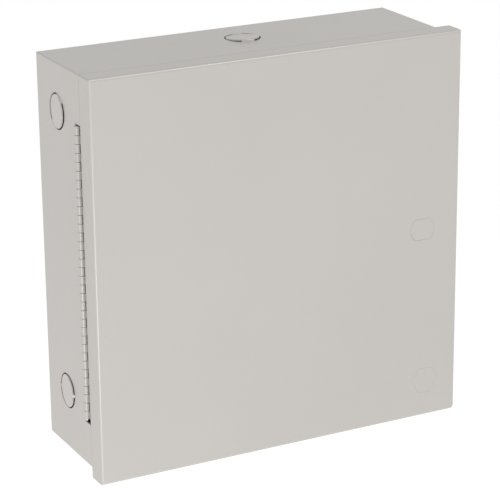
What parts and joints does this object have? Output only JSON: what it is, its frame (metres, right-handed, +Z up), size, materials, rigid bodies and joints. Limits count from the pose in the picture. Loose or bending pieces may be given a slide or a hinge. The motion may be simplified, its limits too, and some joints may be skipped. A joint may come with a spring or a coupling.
{
  "type": "residential load center",
  "caption": "Surface-mounted sheet-steel load center: hinged full-face door, conduit knockouts, dead front, and a two-column breaker interior with a two-pole main.",
  "frame": {"origin": "centre of the four wall holes, on the wall plane", "axes": "+Z up, the door faces -Y, +X to the right of someone facing the door, +Y into the wall"},
  "size_m": [0.3133, 0.0984, 0.3151],
  "materials": {
    "painted_steel": "satin baked enamel, light putty grey, over sheet steel",
    "zinc_steel": "bright zinc plated steel",
    "tin_plate": "tin plated aluminium, satin",
    "copper": "bare copper bar, slightly dulled",
    "green_screws": "green dyed zinc plate",
    "label_stock": "matt printed label stock with blank ruled rows",
    "magnet": "bare ferrite",
    "moulded_grey": "moulded phenolic, fine texture",
    "moulded_black": "moulded thermoset, fine spark texture"
  },
  "bodies": {
    "cabinet": {"enclosure": "painted_steel", "knockout_slugs": "painted_steel", "hinge_body_leaf": "painted_steel", "hinge_pin": "zinc_steel", "catch_housing": "moulded_grey", "catch_magnet": "magnet", "catch_screws": "zinc_steel", "dead_front": "painted_steel", "dead_front_screws": "zinc_steel", "space_filler": "moulded_black", "interior_base": "moulded_grey", "interior_screws": "zinc_steel", "mounting_rail_left": "zinc_steel", "mounting_rail_right": "zinc_steel", "rail_screws": "zinc_steel", "bus_bar_a": "copper", "bus_bar_b": "copper", "bus_bolts": "zinc_steel", "main_case": "moulded_black", "main_line_lugs": "tin_plate", "main_lug_screws": "tin_plate", "breaker_1_case": "moulded_black", "breaker_3_case": "moulded_black", "breaker_5_case": "moulded_black", "breaker_7_case": "moulded_black", "breaker_2_4_case": "moulded_black", "breaker_6_case": "moulded_black", "branch_line_jaws": "tin_plate", "branch_clamps": "tin_plate", "branch_clamp_screws": "zinc_steel", "neutral_bar": "tin_plate", "neutral_standoffs": "moulded_grey", "neutral_screws": "zinc_steel", "neutral_lug": "tin_plate", "neutral_lug_screw": "tin_plate", "ground_bar": "tin_plate", "ground_screws": "green_screws", "ground_fixings": "zinc_steel", "bonding_strap": "copper", "bonding_screws": "green_screws"},
    "door": {"door": "painted_steel", "hinge_door_leaf": "painted_steel", "lock_knockout_slug": "painted_steel", "circuit_directory": "label_stock"},
    "main_toggle": {"main_handle": "moulded_black"},
    "toggle_1": {"breaker_1_handle": "moulded_black"},
    "toggle_3": {"breaker_3_handle": "moulded_black"},
    "toggle_5": {"breaker_5_handle": "moulded_black"},
    "toggle_7": {"breaker_7_handle": "moulded_black"},
    "toggle_2_4": {"breaker_2_4_handle": "moulded_black"},
    "toggle_6": {"breaker_6_handle": "moulded_black"}
  },
  "joints": [
    {"name": "door_hinge", "type": "hinge", "parent": "cabinet", "child": "door", "pos_m": [-0.149, -0.0749, 0], "axis": [0, 0, -1], "range_deg": [0, 170]},
    {"name": "main_switch", "type": "hinge", "parent": "cabinet", "child": "main_toggle", "pos_m": [0, -0.067, 0.057], "axis": [1, 0, 0], "range_deg": [0, 32]},
    {"name": "switch_1", "type": "hinge", "parent": "cabinet", "child": "toggle_1", "pos_m": [-0.036, -0.0675, -0.0047], "axis": [0, 0, -1], "range_deg": [0, 32]},
    {"name": "switch_3", "type": "hinge", "parent": "cabinet", "child": "toggle_3", "pos_m": [-0.036, -0.0675, -0.0301], "axis": [0, 0, -1], "range_deg": [0, 32]},
    {"name": "switch_5", "type": "hinge", "parent": "cabinet", "child": "toggle_5", "pos_m": [-0.036, -0.0675, -0.0555], "axis": [0, 0, -1], "range_deg": [0, 32]},
    {"name": "switch_7", "type": "hinge", "parent": "cabinet", "child": "toggle_7", "pos_m": [-0.036, -0.0675, -0.0809], "axis": [0, 0, -1], "range_deg": [0, 32]},
    {"name": "switch_2_4", "type": "hinge", "parent": "cabinet", "child": "toggle_2_4", "pos_m": [0.036, -0.0675, -0.0047], "axis": [0, 0, 1], "range_deg": [0, 32]},
    {"name": "switch_6", "type": "hinge", "parent": "cabinet", "child": "toggle_6", "pos_m": [0.036, -0.0675, -0.0555], "axis": [0, 0, 1], "range_deg": [0, 32]}
  ]
}
